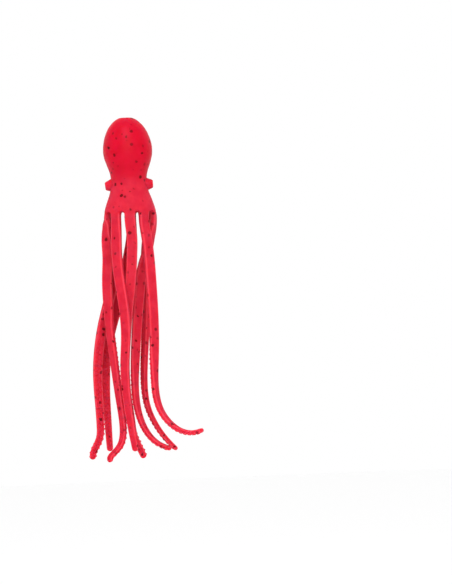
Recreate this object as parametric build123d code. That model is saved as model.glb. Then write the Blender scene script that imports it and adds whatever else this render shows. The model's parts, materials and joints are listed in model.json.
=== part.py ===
from build123d import *
from math import cos, radians, sin, sqrt, tan
import os

# A hollow soft-plastic octopus fishing lure, hanging head up from its line hole.
# Millimetres. The origin is the mouth of the line hole at the crown, +Z is up,
# the front of the lure faces -Y and its right side is at +X.

# Mantle: the egg-shaped head
MANTLE_RADIUS = 8.4
MANTLE_WIDEST_Z = -11.5
CAVITY_RADIUS = 6.0
CROWN_WALL = 2.6
LINE_HOLE_RADIUS = 0.8
LINE_FUNNEL_RADIUS = 1.5
LINE_FUNNEL_DEPTH = 0.5

# Neck: the mantle's concave end turns on the skirt's domed end
NECK_RADIUS = 5.95
NECK_CENTRE_Z = -25.1
NECK_DOME_RADIUS = 7.0
NECK_CUP_RADIUS = 7.26
BORE_RADIUS = 3.5

# Skirt: the flared bell
HEM_Z = -33.2
HEM_RADIUS = 8.85
HEM_INNER_RADIUS = 7.0
BORE_END_Z = -25.5

# Eyes: short blunt tapering stubs on the neck
EYE_ROOT_RADIUS = 1.8
EYE_END_RADIUS = 1.5
EYE_REACH = 8.35
EYE_ROOT = 4.6
EYES = {"left": {"height": -22.95, "droop": 6}, "right": {"height": -23.6, "droop": -1}}
PUPIL_RADIUS = 0.9
PUPIL_DEPTH = 0.35
EYE_RIM_ROUND = 0.3

# Arms: flat tapering strips on a ring of eight, each a chain of straight links
LINKS = 5
ROOT_RING_RADIUS = 8.0
ROOT_HINGE_Z = -36.0
TAB_TOP_Z = -32.2
ROOT_WIDTH = 3.7
TIP_WIDTH = 2.0
ROOT_THICKNESS = 1.9
TIP_THICKNESS = 1.3
CORNER_ROUND = 0.5
HINGE_GAP = 0.12
TWIST_END = 2.5

# How far each hinge turns away from rest, in degrees
ROOT_TRAVEL = 50
LINK_TRAVEL = 30

# Azimuth: 0 is the front, positive towards the right side. Twist is how far the strip
# turns about its own length. Route: where each link ends, from the root hinge down.
ARMS = {
    "front": dict(azimuth=0, twist=0, route=[
        (-0.3, -6.1, -55.0), (-2.6, -1.6, -72.5), (-3.7, -0.2, -90.0), (-2.5, 0.0, -106.0), (1.6, 0.0, -119.3)]),
    "front_right": dict(azimuth=40, twist=10, route=[
        (6.7, -7.6, -62.0), (6.4, -8.7, -90.0), (9.0, -10.0, -104.5), (14.5, -12.8, -110.0), (22.4, -16.5, -110.2)]),
    "right": dict(azimuth=84, twist=-19, route=[
        (3.5, -1.5, -53.0), (0.0, -2.5, -84.0), (-0.1, -2.6, -102.5), (4.3, -2.6, -112.0), (11.0, -2.2, -116.2)]),
    "rear_right": dict(azimuth=132, twist=-17, route=[
        (4.2, 5.6, -60.0), (2.7, 6.0, -85.0), (2.8, 6.3, -98.0), (7.4, 8.2, -109.5), (12.7, 10.5, -116.5)]),
    "rear": dict(azimuth=180, twist=10, route=[
        (-1.6, 8.4, -50.5), (-9.1, 11.0, -75.5), (-11.2, 12.0, -92.0), (-11.1, 12.2, -104.0), (-10.7, 12.2, -116.8)]),
    "rear_left": dict(azimuth=-132, twist=-20, route=[
        (-7.9, 6.1, -57.0), (-12.6, 6.2, -78.0), (-13.8, 6.1, -95.0), (-13.1, 6.0, -108.0), (-16.6, 7.2, -118.6)]),
    "left": dict(azimuth=-84, twist=34, route=[
        (-9.2, -0.8, -62.0), (-7.8, -1.4, -85.0), (-6.2, -1.7, -100.0), (-5.5, -1.8, -110.0), (-10.1, -1.8, -118.8)]),
    "front_left": dict(azimuth=-38, twist=10, route=[
        (-4.4, -6.6, -58.5), (-3.2, -7.2, -76.0), (-4.1, -7.2, -93.0), (-2.9, -7.0, -106.0), (-1.5, -6.8, -116.2)]),
}


def on_sphere(sphere_radius, radius):
    """Height of a sphere about the neck's centre, at this distance from the axis."""
    return NECK_CENTRE_Z + sqrt(sphere_radius**2 - radius**2)


def revolved(*edges):
    """A solid of revolution about Z from a closed outline in the XZ plane."""
    return revolve(Plane.XZ * make_face(Curve() + list(edges)), Axis.Z)


def mantle():
    rim = (NECK_RADIUS, on_sphere(NECK_CUP_RADIUS, NECK_RADIUS))
    cup_top = (0, NECK_CENTRE_Z + NECK_CUP_RADIUS)
    cup_middle = (NECK_RADIUS / 2, on_sphere(NECK_CUP_RADIUS, NECK_RADIUS / 2))
    outside = Spline(
        (0, 0), (4.7, -1.4), (7.85, -7.0), (MANTLE_RADIUS, MANTLE_WIDEST_Z), (7.2, -17.0), (6.25, -19.4), rim,
        tangents=[(1, 0), (-0.05, -1)],
    )
    body = revolved(outside, ThreePointArc(rim, cup_middle, cup_top), Line(cup_top, (0, 0)))
    roof = (0, -CROWN_WALL)
    throat = (BORE_RADIUS, -18.4)
    throat_end = (BORE_RADIUS, -20.0)
    inside = Spline(
        roof, (5.2, -6.8), (CAVITY_RADIUS, MANTLE_WIDEST_Z), (4.9, -15.9), throat,
        tangents=[(1, 0), (0, -1)],
    )
    cavity = revolved(inside, Polyline(throat, throat_end, (0, throat_end[1]), roof))
    line_hole = Pos(0, 0, -CROWN_WALL) * Cylinder(LINE_HOLE_RADIUS, 3 * CROWN_WALL)
    funnel = Pos(0, 0, -LINE_FUNNEL_DEPTH) * Cone(
        LINE_HOLE_RADIUS, LINE_FUNNEL_RADIUS, LINE_FUNNEL_DEPTH, align=(Align.CENTER, Align.CENTER, Align.MIN)
    )
    return body - cavity - line_hole - funnel


def bell():
    """The neck's dome, the flaring wall and the bore through them."""
    dome_bore = (BORE_RADIUS, on_sphere(NECK_DOME_RADIUS, BORE_RADIUS))
    dome_rim = (NECK_RADIUS - 0.05, on_sphere(NECK_DOME_RADIUS, NECK_RADIUS - 0.05))
    dome_middle = (5.0, on_sphere(NECK_DOME_RADIUS, 5.0))
    hem_outer = (HEM_RADIUS, HEM_Z)
    hem_inner = (HEM_INNER_RADIUS, HEM_Z)
    bore_end = (BORE_RADIUS, BORE_END_Z)
    outside = Spline(dome_rim, (6.2, -24.4), (7.8, -28.9), hem_outer, tangents=[(0.05, -1), (0.12, -1)])
    inside = Spline(hem_inner, (6.2, -30.4), bore_end, tangents=[(-0.1, 1), (-0.1, 1)])
    return revolved(
        ThreePointArc(dome_bore, dome_middle, dome_rim),
        outside,
        Line(hem_outer, hem_inner),
        inside,
        Line(bore_end, dome_bore),
    )


def eye(side):
    """A blunt stub with a dished end, cut to sit on the neck."""
    sign = -1 if side == "left" else 1
    length = EYE_REACH - EYE_ROOT
    stub = Cone(EYE_ROOT_RADIUS, EYE_END_RADIUS, length, align=(Align.CENTER, Align.CENTER, Align.MIN))
    stub = fillet(stub.edges().group_by(Axis.Z)[-1], EYE_RIM_ROUND)
    dish_radius = (PUPIL_RADIUS**2 + PUPIL_DEPTH**2) / (2 * PUPIL_DEPTH)
    stub -= Pos(0, 0, length - PUPIL_DEPTH + dish_radius) * Sphere(dish_radius)
    lean = sign * (90 + EYES[side]["droop"])
    placed = Pos(sign * EYE_ROOT, 0, EYES[side]["height"]) * Rot(0, lean, 0) * stub
    hull = bell() + Pos(0, 0, -26) * Cylinder(BORE_RADIUS + 0.5, 14)
    return placed - hull


def root_point(arm):
    angle = radians(arm["azimuth"])
    return Vector(ROOT_RING_RADIUS * sin(angle), -ROOT_RING_RADIUS * cos(angle), ROOT_HINGE_Z)


def hinge_points(arm):
    """The root hinge, the hinges between links, and the tip."""
    return [root_point(arm)] + [Vector(*point) for point in arm["route"]]


def width_direction(arm, position):
    """Across the strip, level, at a place counted in links from the root."""
    angle = radians(arm["azimuth"] + arm["twist"] * min(1, position / TWIST_END))
    return Vector(cos(angle), sin(angle), 0)


def taper(at_root, at_tip, share):
    return at_root + (at_tip - at_root) * share


def share_along(points, number):
    """How far along the arm a point lies, from 0 at the root to 1 at the tip."""
    lengths = [(end - start).length for start, end in zip(points, points[1:])]
    return sum(lengths[:number]) / sum(lengths)


def hinge_rooms(arm):
    """Half the length left free at each hinge, so that the rounded ends never meet."""
    points = hinge_points(arm)
    directions = [Vector(0, 0, -1)] + [end - start for start, end in zip(points, points[1:])]
    rooms = []
    for number in range(LINKS):
        share = share_along(points, number)
        thickness = taper(ROOT_THICKNESS, TIP_THICKNESS, share)
        width = taper(ROOT_WIDTH, TIP_WIDTH, share)
        kink = directions[number].get_angle(directions[number + 1])
        travel = ROOT_TRAVEL if number == 0 else LINK_TRAVEL
        flat_room = (thickness + HINGE_GAP) / (2 * cos(radians(kink + travel) / 2))
        rooms.append(flat_room + width / 2 * tan(radians(kink) / 2))
    return rooms


def strip(start, end, across, widths, thicknesses, round_tip=False):
    """A straight tapered strip whose ends are rounded across its thickness."""
    along = (end - start).normalized()
    across = (across - along * across.dot(along)).normalized()
    length = (end - start).length
    frame = Plane(origin=start, x_dir=across, z_dir=along)
    near, far = thicknesses[0] / 2, thicknesses[1] / 2
    side = make_hull((Circle(near) + Pos(length, 0) * Circle(far)).edges())
    side_block = extrude(Plane(origin=(0, 0, 0), x_dir=(0, 0, 1), z_dir=(1, 0, 0)) * side, ROOT_WIDTH, both=True)
    bottom, top = -near, length + far
    face = Polygon(
        (-widths[0] / 2, bottom), (widths[0] / 2, bottom), (widths[1] / 2, top), (-widths[1] / 2, top), align=None
    )
    corners = face.vertices().sort_by(Axis.Y)
    tip_round = widths[1] * 0.42 if round_tip else CORNER_ROUND
    face = fillet(corners[:2], CORNER_ROUND)
    face = fillet(face.vertices().sort_by(Axis.Y)[-2:], tip_round)
    face_block = extrude(Plane.XZ * face, ROOT_WIDTH, both=True)
    return frame * (side_block & face_block)


def arm_links(arm):
    points = hinge_points(arm)
    rooms = hinge_rooms(arm) + [TIP_THICKNESS / 2]
    links = []
    for number in range(LINKS):
        start, end = points[number], points[number + 1]
        along = (end - start).normalized()
        shares = [share_along(points, number), share_along(points, number + 1)]
        links.append(strip(
            start + along * rooms[number],
            end - along * rooms[number + 1],
            width_direction(arm, number + 0.5),
            [taper(ROOT_WIDTH, TIP_WIDTH, share) for share in shares],
            [taper(ROOT_THICKNESS, TIP_THICKNESS, share) for share in shares],
            round_tip=number == LINKS - 1,
        ))
    return links


def hem_tab(arm):
    """The short piece of hem that an arm hangs from."""
    hinge = root_point(arm)
    top = Vector(hinge.X, hinge.Y, TAB_TOP_Z)
    bottom = hinge + Vector(0, 0, hinge_rooms(arm)[0])
    return strip(top, bottom, width_direction(arm, 0), [ROOT_WIDTH] * 2, [ROOT_THICKNESS] * 2)


def skirt():
    whole = bell()
    for arm in ARMS.values():
        whole += hem_tab(arm)
    return whole


def sub_parts():
    yield "mantle", mantle()
    yield "skirt", skirt()
    for side in EYES:
        yield f"eye_{side}", eye(side)
    for name, arm in ARMS.items():
        for number, link in enumerate(arm_links(arm), start=1):
            yield f"arm_{name}_{number}", link


def main():
    os.makedirs("parts", exist_ok=True)
    for node, shape in sub_parts():
        export_step(shape, f"parts/{node}.step")


main()
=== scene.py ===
import json
from math import cos, hypot, pi, radians, sin, sqrt

import bmesh
import bpy
import numpy as np
from mathutils import Matrix, Vector, noise


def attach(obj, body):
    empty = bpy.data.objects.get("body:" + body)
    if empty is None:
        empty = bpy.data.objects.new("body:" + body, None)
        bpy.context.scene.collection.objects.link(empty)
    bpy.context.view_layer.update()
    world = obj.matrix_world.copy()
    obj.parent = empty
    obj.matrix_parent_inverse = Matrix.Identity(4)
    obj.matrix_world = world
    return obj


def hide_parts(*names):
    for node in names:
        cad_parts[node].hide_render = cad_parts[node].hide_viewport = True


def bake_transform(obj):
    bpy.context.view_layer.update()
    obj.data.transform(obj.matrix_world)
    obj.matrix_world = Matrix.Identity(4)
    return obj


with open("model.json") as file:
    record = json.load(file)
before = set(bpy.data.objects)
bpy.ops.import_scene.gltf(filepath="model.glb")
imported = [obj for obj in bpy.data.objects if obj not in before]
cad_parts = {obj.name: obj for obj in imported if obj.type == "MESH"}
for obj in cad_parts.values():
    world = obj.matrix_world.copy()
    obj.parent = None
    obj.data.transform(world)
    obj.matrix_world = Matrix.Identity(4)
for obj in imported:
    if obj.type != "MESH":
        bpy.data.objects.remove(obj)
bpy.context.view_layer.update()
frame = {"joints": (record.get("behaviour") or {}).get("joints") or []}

# All lengths are in millimetres until a mesh is made.
MM = 0.001
WELD_DISTANCE_M = 1e-7

# ---------------------------------------------------------------- sizes

# Arms: flat strips with rounded edges, on a ring round the skirt's hem. Each begins at TAB_END_Z, and
# its middle line hangs through two points, LEAD_IN above and below there. Shares are of the strip's
# own size.
RING_RADIUS = 8.2
SLOT_TOP_Z = -32.9
ARCH_HEIGHT = 1.15
ARCH_STEPS = 7
ARCH_SHARPNESS = 3
# The painted edge highlight starts this share of the way down the arches beside each tab.
PAINTED_HIGHLIGHT_FROM = 0.4
TAB_END_Z = -34.9
TAB_STEPS = 4
LEAD_IN = 1.0
ROOT_WIDTH = 3.75
TIP_WIDTH = 2.2
WIDTH_HOLDS = 2.2
ROOT_THICKNESS = 1.85
TIP_THICKNESS = 1.35
EDGE_ROUND = 0.34
FACE_CROWN = 0.05
TIP_ROUND_LENGTH = 1.15
TIP_RINGS = 9
TIP_LAST_TURN = 0.94
TIP_WIDTH_BLUNTNESS = 2.4
TIP_THICKNESS_BLUNTNESS = 3.2

# Suckers: two staggered rows of low cups on each arm's inner face, which start at one share of its
# length and have their full height at another. Teeth are where the cups push out an edge. Both stop
# at END before the tip, where they have faded out over FADE.
SUCKER_PITCH = 1.65
SUCKER_RADIUS_SHARE = 0.23
SUCKER_ROW_SHARE = 0.24
SUCKER_HEIGHT = 0.3
SUCKER_START = 0.3
SUCKER_FULL = 0.6
SUCKERS_END = 0.6
SUCKERS_FADE = 1.2
DISH_RADIUS_SHARE = 0.62
WALL_SHARE = 0.42
DISH_DEPTH_SHARE = 0.55
TOOTH_HEIGHT = 0.32
TOOTH_SIZE_SPREAD = 0.6
TOOTH_SIZE_STEP = 0.77
TOOTH_STAGGER = 0.25
TOOTH_FADE_IN = 0.08
TEETH_END = 0.4
TEETH_FADE = 0.8
TOOTH_BLUNTNESS = 0.7
EDGE_TOOTH_WEIGHT = 0.6
FINE_STEP = 0.19
COARSE_STEP = 0.5

# How far along an arm, each side of a hinge, two points on its middle line are found, which nothing uses; and
# how far rings keep from a cut between pieces
BEND_REACH = 9.0
CUT_CLEARANCE = 0.05

# Each arm hangs from a root azimuth in degrees: 0 is the front, and positive is towards +X. Facing
# gives the azimuth that its outer face looks to, at shares of its length. Teeth give each toothed
# edge, -1 or 1, and the share where its teeth start. Sucker_size scales the cups' height. The route
# is the arm's middle line, from below the hem to the tip.
ARMS = {
    "front": dict(
        azimuth=0, facing=[(0, 0), (1, 0)],
        teeth=[(1, 0.86)],
        route=[
            (0.4, -7.4, -41.0), (0.2, -6.9, -48.0), (-0.4, -6.3, -55.0), (-1.25, -5.5, -61.5),
            (-2.3, -3.6, -69.0), (-3.1, -1.1, -76.5), (-3.8, -0.1, -84.5), (-3.9, 0.1, -92.0),
            (-3.4, -0.1, -99.0), (-2.5, -0.1, -106.0), (-1.7, 0.0, -111.5), (-0.2, 0.0, -115.2),
            (1.6, 0.0, -119.3),
        ],
    ),
    "front_right": dict(
        azimuth=36, facing=[(0, 36), (0.25, 24), (0.5, 26), (0.68, 55), (1, 62)],
        teeth=[(-1, 0.5)],
        route=[
            (5.35, -6.5, -41.0), (6.1, -6.8, -48.5), (6.5, -7.3, -57.0), (6.8, -7.9, -67.0),
            (6.8, -8.4, -77.0), (6.5, -8.7, -86.0), (6.4, -8.9, -92.5), (6.9, -9.3, -98.6),
            (8.2, -10.1, -102.8), (11.5, -11.8, -107.4), (15.5, -14.0, -110.0), (19.2, -15.5, -110.5),
            (22.7, -16.5, -109.7),
        ],
    ),
    "right": dict(
        azimuth=84, facing=[(0, 84), (0.07, 66), (0.2, 24), (0.55, 27), (0.68, 50), (1, 62)],
        teeth=[(-1, 0.6)],
        route=[
            (7.3, -0.7, -40.5), (6.2, -0.7, -44.8), (4.6, -0.5, -49.5), (3.1, 0.0, -54.6),
            (2.25, 0.5, -60.0), (1.4, 0.4, -67.0), (0.6, -1.0, -75.0), (-0.1, -2.1, -83.0),
            (-0.6, -2.5, -91.0), (-0.5, -2.5, -98.5), (0.4, -2.4, -104.2), (2.5, -2.4, -109.6),
            (6.2, -2.4, -114.0), (11.1, -2.3, -116.4),
        ],
    ),
    "rear_right": dict(
        azimuth=132, facing=[(0, 132), (0.5, 124), (1, 104)],
        teeth=[(-1, 0.8)],
        route=[
            (5.0, 5.5, -45.0), (4.4, 5.5, -54.0), (4.1, 5.6, -64.0), (3.7, 5.7, -73.0),
            (3.0, 5.9, -82.0), (2.5, 6.1, -89.5), (2.5, 6.5, -96.0), (3.3, 7.0, -101.5),
            (5.4, 8.0, -107.0), (8.7, 9.3, -112.4), (12.9, 10.5, -117.2),
        ],
    ),
    "rear": dict(
        azimuth=180, facing=[(0, 180), (1, 184)],
        sucker_size=0.8,
        route=[
            (0.0, 8.2, -41.0), (-1.0, 8.6, -46.5), (-2.5, 9.1, -53.0), (-4.5, 9.7, -60.5),
            (-6.9, 10.4, -68.5), (-9.0, 11.1, -75.5), (-10.5, 11.7, -82.0), (-11.1, 12.0, -89.0),
            (-11.3, 12.1, -96.5), (-11.1, 12.2, -105.0), (-10.7, 12.2, -116.9),
        ],
    ),
    "rear_left": dict(
        azimuth=-132, facing=[(0, -132), (0.2, -158), (1, -170)],
        sucker_size=0.8, teeth=[(-1, 0.8), (1, 0.88)],
        route=[
            (-6.0, 5.8, -45.0), (-7.1, 6.0, -55.5), (-9.3, 6.1, -65.0), (-11.4, 6.1, -72.5),
            (-13.0, 6.2, -80.5), (-13.8, 6.2, -88.0), (-13.9, 6.1, -94.5), (-13.7, 6.0, -101.0),
            (-13.6, 6.0, -107.0), (-14.2, 6.3, -112.3), (-16.4, 7.0, -116.9), (-16.9, 7.2, -119.4),
        ],
    ),
    "left": dict(
        azimuth=-84, facing=[(0, -84), (0.035, -54), (0.12, -14), (0.3, -18), (0.45, -46), (1, -42)],
        teeth=[(1, 0.44), (-1, 0.9)],
        route=[
            (-8.5, -0.2, -40.0), (-8.45, -0.4, -48.0), (-8.95, -0.7, -57.0), (-8.9, -0.9, -66.0),
            (-8.65, -1.1, -74.0), (-7.9, -1.3, -82.5), (-7.1, -1.5, -91.0), (-6.3, -1.6, -98.5),
            (-5.6, -1.7, -105.0), (-5.5, -1.8, -110.0), (-6.6, -1.8, -114.3), (-9.5, -1.8, -117.6),
            (-10.4, -1.8, -118.9), (-10.1, -1.8, -120.2),
        ],
    ),
    "front_left": dict(
        azimuth=-36, facing=[(0, -36), (0.1, -20), (0.35, -20), (1, -14)],
        route=[
            (-5.0, -6.6, -42.0), (-5.0, -6.8, -50.0), (-4.5, -6.9, -56.5), (-3.7, -7.0, -63.0),
            (-3.1, -7.1, -70.5), (-3.1, -7.2, -77.0), (-3.7, -7.2, -84.5), (-3.9, -7.1, -91.0),
            (-3.5, -7.0, -98.5), (-2.8, -7.0, -105.5), (-1.2, -6.9, -116.6),
        ],
    ),
}

# Outer and inner outlines of the mantle and skirt: radius and height, from the crown to the hem
OUTSIDE = [
    (0.8, -2.5), (0.8, -0.95), (0.9, -0.45), (1.25, -0.14), (1.8, -0.04), (2.5, -0.22),
    (3.4, -0.66), (4.4, -1.4), (5.4, -2.4), (6.2, -3.42), (6.9, -4.6), (7.42, -5.7),
    (7.84, -6.8), (8.18, -8.0), (8.42, -9.2), (8.57, -10.5), (8.6, -11.6), (8.53, -12.9),
    (8.35, -14.1), (8.05, -15.2), (7.68, -16.3), (7.32, -17.3), (6.93, -18.3), (6.6, -19.3),
    (6.36, -20.4), (6.22, -21.8), (6.28, -23.4), (6.6, -25.2), (7.08, -26.9), (7.7, -28.5),
    (8.28, -30.2), (8.72, -31.6), (8.98, -32.7),
]
INSIDE = [
    (1.1, -2.6), (2.6, -3.0), (4.6, -5.2), (5.7, -8.2), (6.0, -11.3), (5.6, -14.2),
    (4.6, -16.6), (3.7, -18.4), (3.5, -20.0), (3.5, -23.0), (3.6, -25.2), (4.3, -27.2),
    (5.4, -29.0), (6.3, -30.6), (6.85, -32.0), (6.98, -32.7),
]

OUTSIDE_STEP = 0.5
INSIDE_STEP = 0.6

# How far the crown leans, and down to which depth. The wall waves by a broad and a fine amount,
# each with its waves per millimetre, and stays true at the hem and round the line hole.
CROWN_LEAN = 0.35
CROWN_LEAN_DEPTH = 10
BROAD_WAVE, BROAD_WAVES_PER_MM = 0.13, 0.16
FINE_WAVE, FINE_WAVES_PER_MM = 0.04, 0.7
TRUE_ABOVE_SLOTS, WAVES_GROW_OVER = 0.3, 4
TRUE_RADIUS, WAVES_GROW_OUT = 1.5, 2

# Eyes: blunt tapering stubs with a dished end. Each has its height and how many degrees it droops,
# and their shared outline is the distance out from the axis and the radius.
EYES = {"left": dict(height=-22.9, droop=6), "right": dict(height=-23.65, droop=-1)}
EYE_POINTS = 28
EYE_OUTLINE = [
    (4.4, 2.5), (5.6, 2.5), (6.2, 2.3), (6.8, 2.02), (7.4, 1.76), (7.9, 1.56),
    (8.18, 1.42), (8.34, 1.26), (8.4, 1.08), (8.36, 0.9), (8.22, 0.68), (8.1, 0.4),
    (8.06, 0.14),
]

# Plastic: linear colours, with painted sheen and a painted edge highlight among them, flakes in millimetres,
# and the heights between which it turns dull and takes the painted sheen
DEEP_RED = (0.4, 0.001, 0.013, 1)
BRIGHT_RED = (0.46, 0.002, 0.019, 1)
# Below the neck the red turns paler and pinker: painted sheen of a matte surface, mottled between these two.
PAINTED_SHEEN_RED = (0.42, 0.0085, 0.027, 1)
PALE_PAINTED_SHEEN_RED = (0.47, 0.0135, 0.033, 1)
# Pale pink painted highlight along the arms' rounded edges, where light would catch them.
PAINTED_EDGE_HIGHLIGHT = (0.75, 0.09, 0.13, 1)
FLAKE_BLACK = (0.08, 0.0004, 0.002, 1)
FLAKE_SPACING = 2.1
FLAKE_RADII = (0.42, 0.7)
FLAKES_LEFT_OUT = 0.4
DULL_FROM_Z, DULL_FULL_Z = -18.0, -25.0
DULL_PATCHES = 5.0
PAINTED_EDGE_HIGHLIGHT_STRENGTH = 0.3
DRIFT_WAVES_PER_MM = 0.22
BLOTCH_WAVES_PER_MM = 0.35
GRAIN_WAVES_PER_MM = 1.1
WOBBLE_WAVES_PER_MM = 1.3
FLAKE_WOBBLE = 0.7
FLAKE_SOFT_EDGE = (-0.08, 0.2)
FLAKE_STRENGTHS = (0.5, 1.0)
GRAIN_BUMP_HEIGHT = 0.12
ROUGHNESS_RANGE = (0.36, 0.46)
DULL_ROUGHNESS = 0.16


# ---------------------------------------------------------------- curves

class SmoothCurve:
    """A curve with continuous bending through a list of points, measured by length along it."""

    SAMPLES_PER_POINT = 40
    NEAREST_SAMPLES = 2000
    DIRECTION_STEP = 0.05

    def __init__(self, points):
        self.points = np.array(points, float)
        chords = np.linalg.norm(np.diff(self.points, axis=0), axis=1)
        self.knots = np.concatenate([[0], np.cumsum(chords)])
        self.bends = self._bends()
        self.fine = np.linspace(0, self.knots[-1], self.SAMPLES_PER_POINT * len(points))
        places = self._at(self.fine)
        steps = np.linalg.norm(np.diff(places, axis=0), axis=1)
        self.lengths = np.concatenate([[0], np.cumsum(steps)])
        self.length = self.lengths[-1]

    def _bends(self):
        """Second derivatives at the points of the natural cubic spline."""
        gaps = np.diff(self.knots)
        count = len(self.points)
        matrix = np.eye(count)
        right = np.zeros_like(self.points)
        for i in range(1, count - 1):
            matrix[i, i - 1:i + 2] = gaps[i - 1], 2 * (gaps[i - 1] + gaps[i]), gaps[i]
            slope_after = (self.points[i + 1] - self.points[i]) / gaps[i]
            slope_before = (self.points[i] - self.points[i - 1]) / gaps[i - 1]
            right[i] = 6 * (slope_after - slope_before)
        return np.linalg.solve(matrix, right)

    def _at(self, knot):
        knot = np.atleast_1d(knot)
        i = np.clip(np.searchsorted(self.knots, knot, "right") - 1, 0, len(self.points) - 2)
        gap = (self.knots[i + 1] - self.knots[i])[:, None]
        before = (self.knots[i + 1] - knot)[:, None] / gap
        after = 1 - before
        bent = (before**3 - before) * self.bends[i] + (after**3 - after) * self.bends[i + 1]
        return before * self.points[i] + after * self.points[i + 1] + bent * gap**2 / 6

    def at(self, length):
        return self._at(np.interp(length, self.lengths, self.fine))

    def direction(self, length):
        after = self.at(np.minimum(length + self.DIRECTION_STEP, self.length))
        before = self.at(np.maximum(length - self.DIRECTION_STEP, 0))
        ahead = after - before
        return ahead / np.linalg.norm(ahead, axis=1)[:, None]

    def nearest(self, point):
        """Length along the curve where it passes closest to a point."""
        samples = np.linspace(0, self.length, self.NEAREST_SAMPLES)
        gaps = np.linalg.norm(self.at(samples) - np.array(point), axis=1)
        return samples[gaps.argmin()]


def ease(value):
    """0 to 1, level at both ends."""
    value = np.clip(value, 0, 1)
    return value * value * (3 - 2 * value)


# ---------------------------------------------------------------- strip section

def corner(side, face, angles):
    """Places round one rounded corner of a strip: its centre's side and face, and the way out."""
    return [(side, face, cos(radians(a)), sin(radians(a))) for a in angles]


def flats(face, count):
    """Evenly spaced places on a strip's face, without its ends, from the right to the left."""
    return [(1 - 2 * i / (count + 1), face, 0, face) for i in range(1, count + 1)]


# The section's points run round the strip. Each is a place between the corners' centres, as side
# and face from -1 to 1, and the way from there to the surface, across and outward.
OUTER_RUN = corner(-1, 1, (135, 112.5, 90)) + flats(1, 5)[::-1] + corner(1, 1, (90, 67.5, 45))
RIGHT_RUN = corner(1, 1, (22.5, 0)) + [(1, 0, 1, 0)] + corner(1, -1, (0, -22.5))
INNER_RUN = corner(1, -1, (-45, -67.5, -90)) + flats(-1, 13) + corner(-1, -1, (-90, -112.5, -135))
LEFT_RUN = corner(-1, -1, (-157.5, 180)) + [(-1, 0, -1, 0)] + corner(-1, 1, (180, 157.5))
SECTION = np.array(OUTER_RUN + RIGHT_RUN + INNER_RUN + LEFT_RUN, float)
OUTER_COUNT, RIGHT_COUNT, INNER_COUNT = len(OUTER_RUN), len(RIGHT_RUN), len(INNER_RUN)
INNER_START = OUTER_COUNT + RIGHT_COUNT
CORNER_COUNT = 3
IS_INNER = np.zeros(len(SECTION), bool)
IS_INNER[INNER_START + CORNER_COUNT:INNER_START + INNER_COUNT - CORNER_COUNT] = True
INNER_CORNERS = (SECTION[:, 1] < 0) & (np.abs(SECTION[:, 2]) > 0.1)
TOOTH_WEIGHT = np.where(INNER_CORNERS, np.abs(SECTION[:, 2]), 0)
TOOTH_WEIGHT += np.where(SECTION[:, 1] == 0, EDGE_TOOTH_WEIGHT, 0)
# Weight of the painted edge highlight: most at the middle of each rounded corner, none on the flat faces.
PAINTED_HIGHLIGHT_WEIGHT = np.where(SECTION[:, 1] != 0, 2 * np.abs(SECTION[:, 2] * SECTION[:, 3]), 0)


def section(width, thickness):
    """The strip's cut outline: across and outward, for each point of the run."""
    radius = EDGE_ROUND * thickness
    across = SECTION[:, 0] * (width / 2 - radius) + radius * SECTION[:, 2]
    outward = SECTION[:, 1] * (thickness / 2 - radius) + radius * SECTION[:, 3]
    crown = FACE_CROWN * thickness * (1 - np.clip(2 * across / width, -1, 1) ** 2)
    return across, outward + crown * np.sign(SECTION[:, 1]) * (SECTION[:, 3] ** 2)


# ---------------------------------------------------------------- arms

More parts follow.
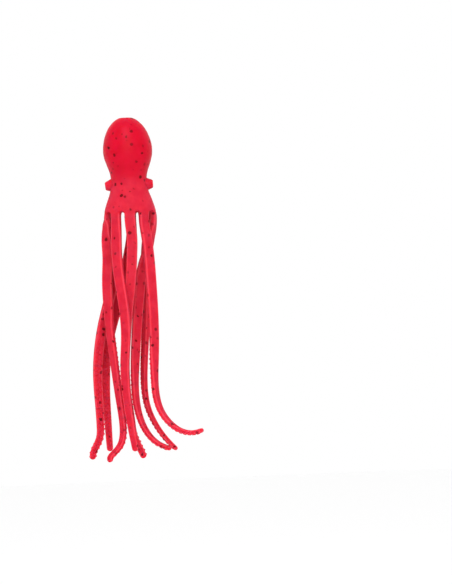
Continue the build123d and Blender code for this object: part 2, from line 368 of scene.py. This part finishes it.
class Arm:
    """One arm's strip. Places along it are lengths in millimetres from the end of its tab."""

    def __init__(self, name):
        self.name = name
        data = ARMS[name]
        self.azimuth = radians(data["azimuth"])
        self.facing = data["facing"]
        self.sucker_size = data.get("sucker_size", 1.0)
        self.toothed = data.get("teeth", [])
        x, y = RING_RADIUS * sin(self.azimuth), -RING_RADIUS * cos(self.azimuth)
        top = [(x, y, TAB_END_Z + LEAD_IN), (x, y, TAB_END_Z - LEAD_IN)]
        self.curve = SmoothCurve(top + data["route"])
        self.start = self.curve.nearest((x, y, TAB_END_Z))
        self.length = self.curve.length - self.start

    def width(self, share):
        return ROOT_WIDTH + (TIP_WIDTH - ROOT_WIDTH) * share**WIDTH_HOLDS

    def turn(self, share):
        """Which way the outer face looks, changing smoothly from each stated share to the next."""
        shares, angles = zip(*self.facing)
        total = np.zeros_like(share) + angles[0]
        for low, high, before, after in zip(shares, shares[1:], angles, angles[1:]):
            total += (after - before) * ease((share - low) / (high - low))
        return np.radians(total)

    def half_width(self, at):
        """Shrinks to a round end over the last stretch."""
        share = at / self.length
        left = np.clip((self.length - at) / TIP_ROUND_LENGTH, 0, 1)
        return self.width(share) / 2 * np.sqrt(1 - (1 - left) ** TIP_WIDTH_BLUNTNESS)

    def thickness(self, at):
        share = at / self.length
        left = np.clip((self.length - at) / TIP_ROUND_LENGTH, 0, 1)
        full = ROOT_THICKNESS + (TIP_THICKNESS - ROOT_THICKNESS) * share
        return full * np.sqrt(1 - (1 - left) ** TIP_THICKNESS_BLUNTNESS)

    def frames(self, at):
        """Middle, across and outward directions at places along the strip."""
        middle = self.curve.at(self.start + at)
        along = self.curve.direction(self.start + at)
        turn = self.turn(at / self.length)
        level = np.stack([np.cos(turn), np.sin(turn), np.zeros_like(turn)], axis=1)
        across = level - along * np.sum(level * along, axis=1)[:, None]
        across /= np.linalg.norm(across, axis=1)[:, None]
        return middle, across, np.cross(along, across)

    def suckers(self, at, across):
        """Height of the cups above the inner face, for one ring of points."""
        share = at / self.length
        grown = ease((share - SUCKER_START) / (SUCKER_FULL - SUCKER_START))
        grown *= ease((self.length - at - SUCKERS_END) / SUCKERS_FADE)
        if grown <= 0:
            return np.zeros_like(across)
        width = self.width(share)
        radius = SUCKER_RADIUS_SHARE * width
        height = np.zeros_like(across)
        for row, stagger in ((-1, 0), (1, 0.5)):
            nearest = (round(at / SUCKER_PITCH - stagger) + stagger) * SUCKER_PITCH
            away = np.hypot(across - row * SUCKER_ROW_SHARE * width, at - nearest) / radius
            wall = 1 - ease((away - DISH_RADIUS_SHARE) / WALL_SHARE)
            dish = DISH_DEPTH_SHARE * (1 - ease(away / DISH_RADIUS_SHARE))
            height = np.maximum(height, wall - dish)
        return height * SUCKER_HEIGHT * grown * self.sucker_size

    def teeth(self, at, side, start):
        """How far the outermost cups push out one edge of the inner face."""
        share = at / self.length
        grown = ease((share - start) / TOOTH_FADE_IN) * ease((self.length - at - TEETH_END) / TEETH_FADE)
        turn = at / SUCKER_PITCH + TOOTH_STAGGER * side
        size_place = Vector((round(turn) * TOOTH_SIZE_STEP, self.azimuth, side))
        size = 1 + TOOTH_SIZE_SPREAD * noise.noise(size_place)
        return side * TOOTH_HEIGHT * grown * size * max(0, cos(2 * pi * turn)) ** TOOTH_BLUNTNESS

    def ring(self, at):
        """The outline's points at one place along the strip, in space."""
        middle, across_way, outward_way = (values[0] for values in self.frames(np.array([at])))
        half, thick = float(self.half_width(at)), float(self.thickness(at))
        across, outward = section(2 * half, thick)
        cups = self.suckers(at, across)
        outward = np.where(IS_INNER, outward - cups, outward)
        for side, start in self.toothed:
            across = across + self.teeth(at, side, start) * np.where(across * side > 0, TOOTH_WEIGHT, 0)
        return middle + across[:, None] * across_way + outward[:, None] * outward_way

    def places(self):
        """Where the rings lie: close together where the suckers are and round the tip."""
        places, at = [], 0.0
        fine_from = SUCKER_START * self.length
        end = self.length - TIP_ROUND_LENGTH
        while at < end:
            places.append(at)
            at += COARSE_STEP if at < fine_from else FINE_STEP
        turns = np.linspace(0, TIP_LAST_TURN, TIP_RINGS)
        places += list(self.length - TIP_ROUND_LENGTH * (1 - np.sin(turns * pi / 2)))
        return np.array(places)


# ---------------------------------------------------------------- material

def add_node(tree, kind, settings=None, **inputs):
    """A shader node with its settings and inputs. An input is named, or numbered as in i0, and is
    a value or another node's output."""
    node = tree.nodes.new(kind)
    for name, value in (settings or {}).items():
        setattr(node, name, value)
    for name, value in inputs.items():
        numbered = name[0] == "i" and name[1:].isdigit()
        socket = node.inputs[int(name[1:]) if numbered else name]
        if isinstance(value, bpy.types.NodeSocket):
            tree.links.new(value, socket)
        else:
            socket.default_value = value
    return node


def calculate(tree, operation, *values):
    inputs = {f"i{index}": value for index, value in enumerate(values)}
    return add_node(tree, "ShaderNodeMath", {"operation": operation}, **inputs).outputs[0]


def blend_colours(tree, share, first, second):
    return add_node(tree, "ShaderNodeMix", {"data_type": "RGBA"}, i0=share, i6=first, i7=second).outputs[2]


def rescale(tree, value, span, to=(0.0, 1.0), kind="LINEAR"):
    """A value carried from one span to another, and held at its ends."""
    settings = {"interpolation_type": kind}
    return add_node(
        tree, "ShaderNodeMapRange", settings, Value=value, i1=span[0], i2=span[1], i3=to[0], i4=to[1]
    ).outputs[0]


def cloud(tree, place, scale, detail, roughness=0.5, output=0):
    """Soft noise in space, its scale in waves per millimetre."""
    texture = add_node(
        tree, "ShaderNodeTexNoise", Vector=place, Scale=scale, Detail=detail, Roughness=roughness
    )
    return texture.outputs[output]


def stored(tree, name, output):
    """What the mesh keeps at each point under this name."""
    return add_node(tree, "ShaderNodeAttribute", {"attribute_name": name}).outputs[output]


def move(tree, operation, *values):
    """A sum done on places, not on plain numbers."""
    inputs = {f"i{index}": value for index, value in enumerate(values)}
    return add_node(tree, "ShaderNodeVectorMath", {"operation": operation}, **inputs).outputs[0]


def dull_and_sheen_share(tree, place, blotch):
    """How dull the plastic is, and so how much painted sheen it takes: from none on the mantle to all below
    the neck, with a patchy edge.
    """
    height = add_node(tree, "ShaderNodeSeparateXYZ", Vector=place).outputs["Z"]
    lowered = calculate(tree, "SUBTRACT", height, DULL_PATCHES / 2)
    patchy = calculate(tree, "MULTIPLY_ADD", blotch, DULL_PATCHES, lowered)
    return rescale(tree, patchy, (DULL_FROM_Z, DULL_FULL_Z), kind="SMOOTHSTEP")


def plain_colour(tree, place, dull_and_sheen, blotch):
    """Red that drifts a little; below the neck paler, pinker and mottled, which is painted sheen; and pale
    pink on the arms' edges, which is a painted highlight.
    """
    drift = rescale(tree, cloud(tree, place, DRIFT_WAVES_PER_MM, detail=3.0, roughness=0.6), (0.32, 0.68))
    red = blend_colours(tree, drift, DEEP_RED, BRIGHT_RED)
    # Painted sheen: below the neck the red turns paler and pinker, as light on a matte surface would make it.
    sheen_red = blend_colours(tree, rescale(tree, blotch, (0.38, 0.62)), PAINTED_SHEEN_RED, PALE_PAINTED_SHEEN_RED)
    bloomed = blend_colours(tree, dull_and_sheen, red, sheen_red)
    # Painted highlight: the arms' rounded edges are mixed towards pale pink.
    pale = calculate(tree, "MULTIPLY", stored(tree, "edge_light", "Fac"), PAINTED_EDGE_HIGHLIGHT_STRENGTH)
    return blend_colours(tree, pale, bloomed, PAINTED_EDGE_HIGHLIGHT)


def flakes(tree, place):
    """How strongly a flake shows: at most one in each cell of a lattice, and wobbly in outline."""
    noise_at = cloud(tree, place, WOBBLE_WAVES_PER_MM, detail=1.0, output="Color")
    wobble = move(tree, "SUBTRACT", noise_at, (0.5, 0.5, 0.5))
    pushed = move(tree, "MULTIPLY_ADD", wobble, (FLAKE_WOBBLE,) * 3, place)
    cells = add_node(tree, "ShaderNodeTexVoronoi", Vector=pushed, Scale=1 / FLAKE_SPACING)
    numbers = add_node(tree, "ShaderNodeSeparateColor", Color=cells.outputs["Color"]).outputs
    away = calculate(tree, "MULTIPLY", cells.outputs["Distance"], FLAKE_SPACING)
    radius = rescale(tree, numbers[0], (0.0, 1.0), FLAKE_RADII)
    spot = rescale(tree, calculate(tree, "SUBTRACT", radius, away), FLAKE_SOFT_EDGE, kind="SMOOTHSTEP")
    there = calculate(tree, "GREATER_THAN", numbers[1], FLAKES_LEFT_OUT)
    strength = rescale(tree, numbers[2], (0.0, 1.0), FLAKE_STRENGTHS)
    return calculate(tree, "MULTIPLY", calculate(tree, "MULTIPLY", spot, there), strength)


def soft_plastic():
    """Translucent red soft plastic, a little uneven, with black flakes cast into it."""
    material = bpy.data.materials.new("soft_plastic")
    material.use_nodes = True
    tree = material.node_tree
    shader = tree.nodes["Principled BSDF"]
    place = stored(tree, "moulded_at", "Vector")

    blotch = cloud(tree, place, BLOTCH_WAVES_PER_MM, detail=2.0)
    dull_and_sheen = dull_and_sheen_share(tree, place, blotch)
    plain = plain_colour(tree, place, dull_and_sheen, blotch)
    tree.links.new(blend_colours(tree, flakes(tree, place), plain, FLAKE_BLACK), shader.inputs["Base Color"])

    grain = cloud(tree, place, GRAIN_WAVES_PER_MM, detail=4.0, roughness=0.65)
    bump = add_node(tree, "ShaderNodeBump", Strength=0.35, Distance=GRAIN_BUMP_HEIGHT * MM, Height=grain)
    tree.links.new(bump.outputs[0], shader.inputs["Normal"])
    gloss = rescale(tree, grain, (0.3, 0.7), ROUGHNESS_RANGE)
    tree.links.new(calculate(tree, "MULTIPLY_ADD", dull_and_sheen, DULL_ROUGHNESS, gloss), shader.inputs["Roughness"])
    shader.inputs["Specular IOR Level"].default_value = 0.06
    shader.inputs["Subsurface Weight"].default_value = 0.9
    shader.inputs["Subsurface Radius"].default_value = (1.0, 0.12, 0.1)
    shader.inputs["Subsurface Scale"].default_value = 0.0018
    return material


PLASTIC = soft_plastic()


# ---------------------------------------------------------------- meshes

def make_mesh(name, points, faces, edge_light=None):
    """A closed mesh in metres, smooth, with each point's resting place kept for its material, and how much
    painted edge highlight it takes.
    """
    mesh = bpy.data.meshes.new(name)
    mesh.from_pydata([Vector(p) * MM for p in points], [], faces)
    # How much painted edge highlight each point takes.
    light = mesh.attributes.new("edge_light", "FLOAT", "POINT")
    light.data.foreach_set("value", np.zeros(len(points)) if edge_light is None else edge_light)
    shape = bmesh.new()
    shape.from_mesh(mesh)
    bmesh.ops.remove_doubles(shape, verts=shape.verts, dist=WELD_DISTANCE_M)
    bmesh.ops.recalc_face_normals(shape, faces=shape.faces)
    shape.to_mesh(mesh)
    shape.free()
    mesh.polygons.foreach_set("use_smooth", [True] * len(mesh.polygons))
    piece = bpy.data.objects.new(name, mesh)
    bpy.context.scene.collection.objects.link(piece)
    places = np.zeros(len(mesh.vertices) * 3, np.float32)
    mesh.vertices.foreach_get("co", places)
    mesh.attributes.new("moulded_at", "FLOAT_VECTOR", "POINT").data.foreach_set("vector", places / MM)
    mesh.materials.append(PLASTIC)
    return piece


def sharpen_caps(piece, corners):
    """The flat ends where two pieces meet don't bend the shading of the sides."""
    mesh = piece.data
    marks = mesh.attributes.new("sharp_edge", "BOOLEAN", "EDGE")
    cap_edges = set()
    for face in mesh.polygons:
        if len(face.vertices) >= corners:
            cap_edges.update(tuple(sorted(key)) for key in face.edge_keys)
    for edge in mesh.edges:
        if tuple(sorted(edge.vertices)) in cap_edges:
            marks.data[edge.index].value = True


def ring_faces(first, second, count):
    """Quads between two rings of the same number of points."""
    return [(first + i, first + (i + 1) % count, second + (i + 1) % count, second + i) for i in range(count)]


def strip_piece(name, arm, places):
    """One stretch of an arm, closed at both ends."""
    rings = [arm.ring(at) for at in places]
    count = len(SECTION)
    points = np.concatenate(rings)
    faces = []
    for i in range(len(rings) - 1):
        faces += ring_faces(i * count, (i + 1) * count, count)
    faces.append(tuple(range(count)))
    last = (len(rings) - 1) * count
    faces.append(tuple(range(last, last + count)))
    # Each ring takes the painted edge highlight on its rounded corners.
    piece = make_mesh(name, points, faces, np.tile(PAINTED_HIGHLIGHT_WEIGHT, len(rings)))
    sharpen_caps(piece, count)
    return piece


# ---------------------------------------------------------------- mantle and skirt

def outline(points, step):
    """Radius and height along a smooth curve through the points, about a step apart."""
    curve = SmoothCurve([(r, 0, z) for r, z in points])
    places = curve.at(np.linspace(0, curve.length, round(curve.length / step) + 1))
    return places[:, [0, 2]]


def sector_angles(arm, neighbours, spread):
    """Azimuths across one arm's share of the ring, from halfway to each neighbour."""
    return arm.azimuth + np.where(spread < 0, neighbours[0], neighbours[1]) * spread


def revolved_row(radius, height, angles):
    """Points on a level circle, across one sector."""
    return np.stack([radius * np.sin(angles), -radius * np.cos(angles), np.full_like(angles, height)], axis=1)


def sector_place(azimuth, across, outward, height):
    """A point given by how far it is across a sector, out from the axis, and up."""
    x = outward * sin(azimuth) + across * cos(azimuth)
    y = -outward * cos(azimuth) + across * sin(azimuth)
    return np.stack([x, y, height], axis=1)


def hem_rings(arm, neighbours, outer_radius, inner_radius):
    """The rings of one tab, from the arches beside it down to the strip's first ring."""
    strip = arm.ring(0.0)
    away = strip - arm.frames(np.array([0.0]))[0][0]
    tab_across = away[:, 0] * cos(arm.azimuth) + away[:, 1] * sin(arm.azimuth)
    tab_outward = strip[:, 0] * sin(arm.azimuth) - strip[:, 1] * cos(arm.azimuth)
    face_edge = tab_across[:OUTER_COUNT].max()
    outer = slice(0, OUTER_COUNT)
    inner = slice(INNER_START, INNER_START + INNER_COUNT)
    side = np.sign(tab_across)
    is_side = np.ones(len(SECTION), bool)
    is_side[outer] = is_side[inner] = False
    depth = SECTION[:, 1] * (0.5 - EDGE_ROUND) + EDGE_ROUND * SECTION[:, 3]
    outward_share = np.clip(depth / (0.5 - EDGE_ROUND + EDGE_ROUND * sqrt(0.5)) / 2 + 0.5, 0, 1)
    corner_radius = EDGE_ROUND * ROOT_THICKNESS
    lift = corner_radius * (np.abs(SECTION[:, 2]) - sqrt(0.5))
    top_z = SLOT_TOP_Z + corner_radius * (1 - sqrt(0.5))
    arch_z = top_z - ARCH_HEIGHT
    runs = (
        (outer, outer_radius, np.linspace(-1, 1, OUTER_COUNT)),
        (inner, inner_radius, np.linspace(1, -1, INNER_COUNT)),
    )
    rings = []
    for step in range(ARCH_STEPS + TAB_STEPS + 1):
        turn = min(step / ARCH_STEPS, 1) * pi / 2
        below = max(step - ARCH_STEPS, 0) / TAB_STEPS
        edge_z = top_z - ARCH_HEIGHT * (1 - cos(turn)) + (TAB_END_Z - arch_z) * below
        middle_z = top_z + (TAB_END_Z - top_z) * step / (ARCH_STEPS + TAB_STEPS)
        done = ease(step / (ARCH_STEPS + TAB_STEPS))
        across, outward, height = np.zeros((3, len(SECTION)))
        for run, radius, spread in runs:
            start = radius * np.sin(sector_angles(arm, neighbours, spread) - arm.azimuth)
            edges = np.where(spread < 0, radius * sin(neighbours[0]), radius * sin(neighbours[1]))
            edges_now = edges - (edges - face_edge) * sin(turn)
            shape = start / edges * (1 - done) + tab_across[run] / face_edge * done
            across[run] = edges_now * shape
            outward[run] = np.sqrt(radius**2 - across[run] ** 2) * (1 - done) + tab_outward[run] * done
            height[run] = middle_z + (edge_z - middle_z) * np.abs(shape) ** ARCH_SHARPNESS
        for sign in (-1, 1):
            here = is_side & (side == sign)
            face_end = OUTER_COUNT - 1 if sign > 0 else 0
            back_end = inner.start if sign > 0 else inner.stop - 1
            share = outward_share[here]
            across[here] = across[back_end] + (across[face_end] - across[back_end]) * share
            across[here] += sign * lift[here] * sin(turn)
            outward[here] = outward[back_end] + (outward[face_end] - outward[back_end]) * share
            height[here] = edge_z - lift[here] * cos(turn)
        rings.append(sector_place(arm.azimuth, across, outward, height))
    rings[-1] = strip
    return rings


def grid_faces(start, rows, columns, flip=False):
    """Quads between level rows of points."""
    faces = []
    for r in range(rows - 1):
        for c in range(columns - 1):
            a = start + r * columns + c
            face = (a, a + 1, a + 1 + columns, a + columns)
            faces.append(face[::-1] if flip else face)
    return faces


def zipper(first, second, first_count, second_count):
    """Triangles between two rows with different numbers of points."""
    faces, i, j = [], 0, 0
    while i < first_count - 1 or j < second_count - 1:
        first_is_behind = (i + 1) / (first_count - 1) <= (j + 1) / (second_count - 1)
        if j == second_count - 1 or (i < first_count - 1 and first_is_behind):
            faces.append((first + i, first + i + 1, second + j))
            i += 1
        else:
            faces.append((first + i, second + j + 1, second + j))
            j += 1
    return faces


def uneven(point):
    """Moves a point of the mantle or skirt as soft plastic sets: the crown leans, the wall waves."""
    x, y, z = point
    x -= CROWN_LEAN * float(ease(1 + z / CROWN_LEAN_DEPTH))
    push = BROAD_WAVE * noise.noise(Vector(point) * BROAD_WAVES_PER_MM)
    push += FINE_WAVE * noise.noise(Vector(point) * FINE_WAVES_PER_MM)
    push *= float(ease((z - SLOT_TOP_Z - TRUE_ABOVE_SLOTS) / WAVES_GROW_OVER))
    push *= float(ease((hypot(x, y) - TRUE_RADIUS) / WAVES_GROW_OUT))
    return np.array([x, y, z]) + np.array([x, y, 0]) / max(hypot(x, y), 1e-6) * push


def skin(arms):
    """Mantle and skirt in one piece: outer wall, inner wall, line hole and hem."""
    outside = outline(OUTSIDE, OUTSIDE_STEP)
    inside = outline(INSIDE, INSIDE_STEP)
    outer_spread = np.linspace(-1, 1, OUTER_COUNT)
    inner_spread = np.linspace(-1, 1, INNER_COUNT)
    points, faces, edge_light = [], [], []
    for before, arm, after in zip(arms[-1:] + arms[:-1], arms, arms[1:] + arms[:1]):
        gap_before = (arm.azimuth - before.azimuth) % (2 * pi)
        gap_after = (after.azimuth - arm.azimuth) % (2 * pi)
        neighbours = [gap_before / 2, gap_after / 2]
        start = len(points)
        for radius, height in outside:
            points.extend(revolved_row(radius, height, sector_angles(arm, neighbours, outer_spread)))
        faces += grid_faces(start, len(outside), OUTER_COUNT)
        inner_start = len(points)
        for radius, height in inside:
            points.extend(revolved_row(radius, height, sector_angles(arm, neighbours, inner_spread)))
        faces += grid_faces(inner_start, len(inside), INNER_COUNT, flip=True)
        faces += zipper(start, inner_start, OUTER_COUNT, INNER_COUNT)
        rings = hem_rings(arm, neighbours, outside[-1][0], inside[-1][0])
        ring_start = len(points)
        edge_light += [0] * (ring_start - len(edge_light))
        # Down the arch and the tab, the painted edge highlight fades in.
        for step, ring in enumerate(rings):
            points.extend(ring)
            edge_light += list(PAINTED_HIGHLIGHT_WEIGHT * ease(step / ARCH_STEPS - PAINTED_HIGHLIGHT_FROM))
        count = len(SECTION)
        for i in range(len(rings) - 1):
            faces += ring_faces(ring_start + i * count, ring_start + (i + 1) * count, count)
        last = ring_start + (len(rings) - 1) * count
        faces.append(tuple(range(last, last + count)))
    points = [uneven(point) for point in points]
    piece = make_mesh("mantle_and_skirt", points, faces, edge_light)
    sharpen_caps(piece, len(SECTION))
    return piece


def eye(side):
    """A stub that leans out of the neck, closed at its hidden root and at its dished end."""
    sign = -1 if side == "left" else 1
    droop = radians(EYES[side]["droop"])
    out = np.array([sign * cos(droop), 0, -sin(droop)])
    up = np.array([sign * sin(droop), 0, cos(droop)])
    turns = np.linspace(0, 2 * pi, EYE_POINTS, endpoint=False)
    rim = np.outer(np.cos(turns), up) + np.outer(np.sin(turns), [0, 1, 0])
    points, faces = [], []
    for number, (reach, radius) in enumerate(EYE_OUTLINE):
        points.extend(np.array([0, 0, EYES[side]["height"]]) + out * reach + rim * radius)
        if number:
            faces += ring_faces((number - 1) * EYE_POINTS, number * EYE_POINTS, EYE_POINTS)
    last = (len(EYE_OUTLINE) - 1) * EYE_POINTS
    faces += [tuple(range(EYE_POINTS)), tuple(range(last, last + EYE_POINTS))]
    return make_mesh(f"eye_{side}_stub", points, faces)


# ---------------------------------------------------------------- pieces, and the eyes on the skirt's body

def hinge_places(name):
    """The CAD hinges of one arm, root first, in millimetres."""
    joints = [j for j in frame["joints"] if j["name"].startswith(f"arm_{name}_bend_")]
    joints.sort(key=lambda j: int(j["name"].rsplit("_", 1)[1]))
    return [np.array(j["pos_m"]) / MM for j in joints]


def make_arm(arm):
    """Five skins, cut halfway between the hinges, one round each hinge."""
    hinges = hinge_places(arm.name)
    marks = [arm.curve.nearest(h) - arm.start for h in hinges]
    cuts = [0.0] + [(a + b) / 2 for a, b in zip(marks, marks[1:])] + [None]
    places = arm.places()
    for number, mark in enumerate(marks, start=1):
        low, high = cuts[number - 1], cuts[number]
        below = places[places > low + CUT_CLEARANCE]
        if high is None:
            stretch = [low] + list(below)
        else:
            stretch = [low] + list(below[below < high - CUT_CLEARANCE]) + [high]
        piece = strip_piece(f"arm_{arm.name}_skin_{number}", arm, stretch)
        reach_up = min(mark - low, BEND_REACH)
        reach_down = min((high if high is not None else arm.length) - mark, BEND_REACH)
        start = arm.curve.at(arm.start + mark - reach_up)[0] * MM
        end = arm.curve.at(arm.start + mark + reach_down)[0] * MM
        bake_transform(piece)
        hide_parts(f"arm_{arm.name}_{number}")


arms = [Arm(name) for name in ARMS]
body = skin(arms)
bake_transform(body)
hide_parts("mantle", "skirt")
for arm in arms:
    make_arm(arm)
for side in EYES:
    stub = eye(side)
    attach(stub, "skirt")
    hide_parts(f"eye_{side}")

# ---------------------------------------------------------------- stage, light and camera

# Metres, degrees and watts.
CAMERA_DISTANCE = 1.5
CAMERA_AIM = (0.0324, 0, -0.0624)
CAMERA_ROLL = -2.31
FRAME_HALF_HEIGHT = 0.1022
LIGHTS = {
    "key_light": dict(place=(-0.1, -0.8, 0.95), power=8.0, size=0.3),
    "front_light": dict(place=(0.1, -1.7, 0.4), power=16.5, size=0.9),
}
LIGHTS_AIM = (0, 0, -0.06)
FLOOR_RADIUS, FLOOR_Z = 4.0, -0.3
FLOOR_SIDES = 96
FLOOR_WHITE = (0.97, 0.97, 0.97, 1)

camera = bpy.data.objects.new("camera", bpy.data.cameras.new("camera"))
camera.data.lens = camera.data.sensor_width / 2 / (FRAME_HALF_HEIGHT / CAMERA_DISTANCE)
camera_place = Matrix.Translation((CAMERA_AIM[0], -CAMERA_DISTANCE, CAMERA_AIM[2]))
looking_level = Matrix.Rotation(radians(90), 4, "X")
camera.matrix_world = camera_place @ looking_level @ Matrix.Rotation(radians(CAMERA_ROLL), 4, "Z")
bpy.context.scene.collection.objects.link(camera)
bpy.context.scene.camera = camera

world = bpy.data.worlds.new("studio")
world.use_nodes = True
world.node_tree.nodes["Background"].inputs["Color"].default_value = (1, 1, 1, 1)
world.node_tree.nodes["Background"].inputs["Strength"].default_value = 1.0
bpy.context.scene.world = world


def soft_light(name, place, power, size):
    """A square soft light that looks at the middle of the lure."""
    light = bpy.data.lights.new(name, "AREA")
    light.energy, light.size = power, size
    lamp = bpy.data.objects.new(name, light)
    away = Vector(place) - Vector(LIGHTS_AIM)
    lamp.matrix_world = Matrix.Translation(place) @ away.to_track_quat("Z", "Y").to_matrix().to_4x4()
    bpy.context.scene.collection.objects.link(lamp)


for light_name, light in LIGHTS.items():
    soft_light(light_name, **light)


def floor():
    """A round pale floor well under the hanging arms."""
    bpy.ops.mesh.primitive_circle_add(
        vertices=FLOOR_SIDES, radius=FLOOR_RADIUS, fill_type="NGON", location=(0, 0, FLOOR_Z)
    )
    disc = bpy.context.object
    disc.name = "floor"
    material = bpy.data.materials.new("pale_floor")
    material.use_nodes = True
    shader = material.node_tree.nodes["Principled BSDF"]
    shader.inputs["Base Color"].default_value = FLOOR_WHITE
    shader.inputs["Roughness"].default_value = 0.9
    disc.data.materials.append(material)


floor()

bpy.context.scene.view_settings.view_transform = "Standard"
